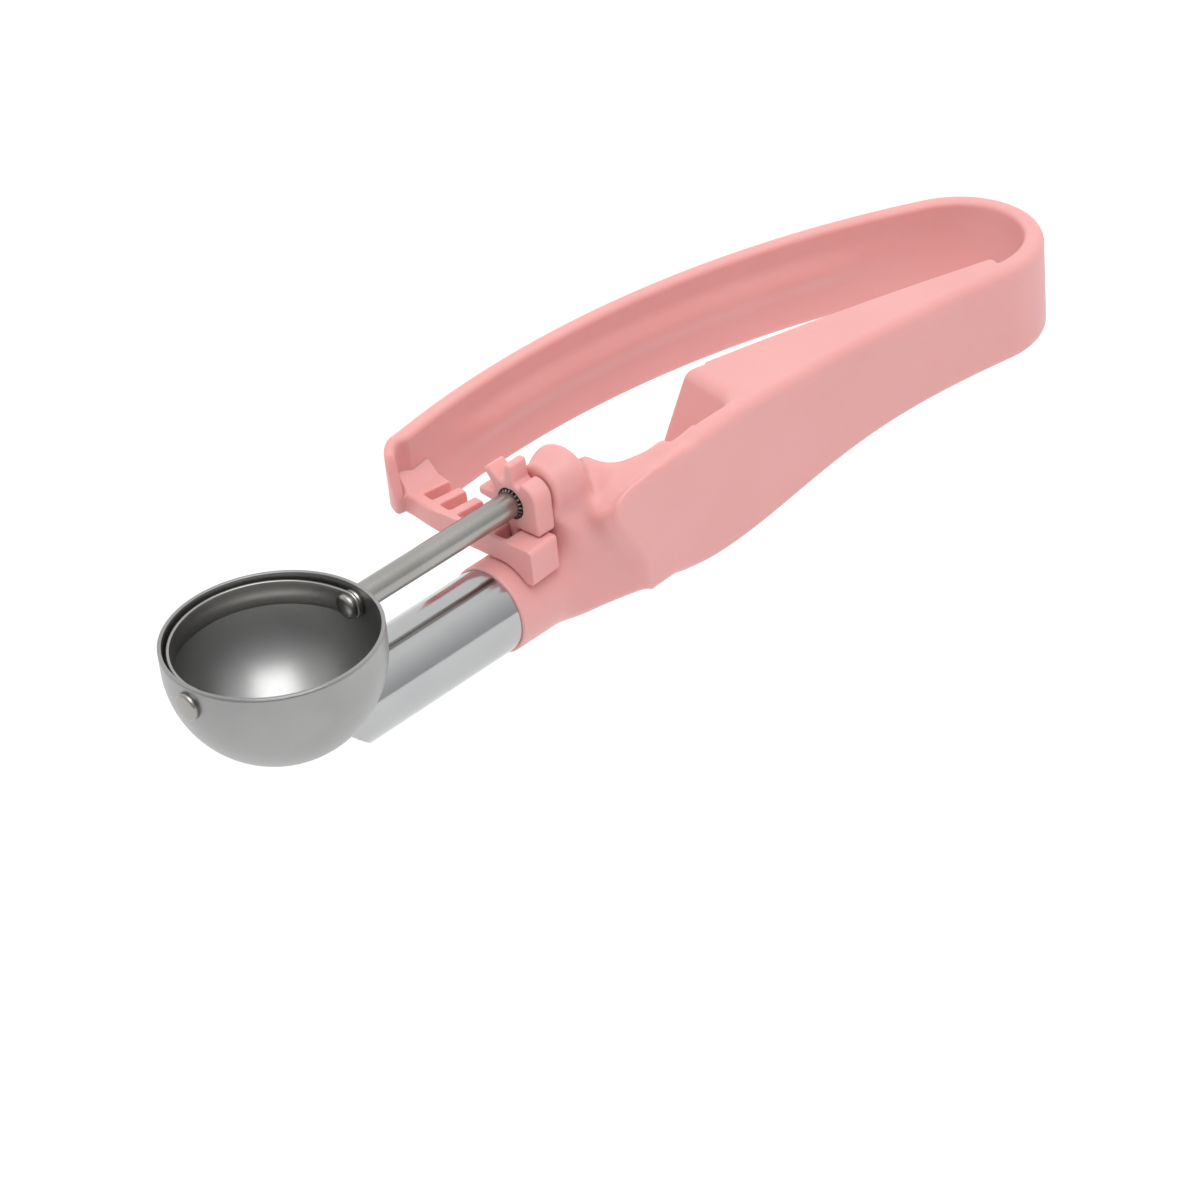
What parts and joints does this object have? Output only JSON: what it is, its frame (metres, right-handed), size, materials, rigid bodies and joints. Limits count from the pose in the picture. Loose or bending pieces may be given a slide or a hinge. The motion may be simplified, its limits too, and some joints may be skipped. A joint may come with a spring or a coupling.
{
  "type": "lever ice cream scoop",
  "caption": "Round-bowl disher scoop with a sprung loop handle whose squeezed bar drives a rack, a pinion and a scraper blade that sweeps the bowl.",
  "frame": {"origin": "centre of the bowl's sphere, on the axis of the blade rod", "axes": "+X along the blade rod from the bowl to the handle, +Z out of the bowl's mouth, +Y to the side of the squeezed bar"},
  "size_m": [0.205, 0.0566, 0.0353],
  "materials": {
    "bowl_steel": "satin",
    "blade_steel": "polished",
    "rod_steel": "drawn",
    "tube_steel": "bright polished",
    "pink_plastic": "satin"
  },
  "bodies": {
    "grip": {"handle_grip": "pink_plastic", "shank_tube": "tube_steel", "shank_weld": "rod_steel", "bowl": "bowl_steel", "pivot_pin": "rod_steel"},
    "blade": {"scraper_blade": "blade_steel", "blade_rod": "rod_steel", "pinion": "pink_plastic"},
    "bar": {"squeeze_arm": "pink_plastic"}
  },
  "joints": [
    {"name": "squeeze", "type": "hinge", "parent": "grip", "child": "bar", "pos_m": [0.18145, 0, 0], "axis": [0, 0, 1], "range_deg": [0, 8.87], "stiffness_Nm_per_rad": 10},
    {"name": "blade_turn", "type": "hinge", "parent": "grip", "child": "blade", "pos_m": [0, 0, 0], "axis": [1, 0, 0], "range_deg": [-180, 0]}
  ],
  "couplings": [
    {"joint": "blade_turn", "follows": "squeeze", "ratio": -20.281}
  ]
}
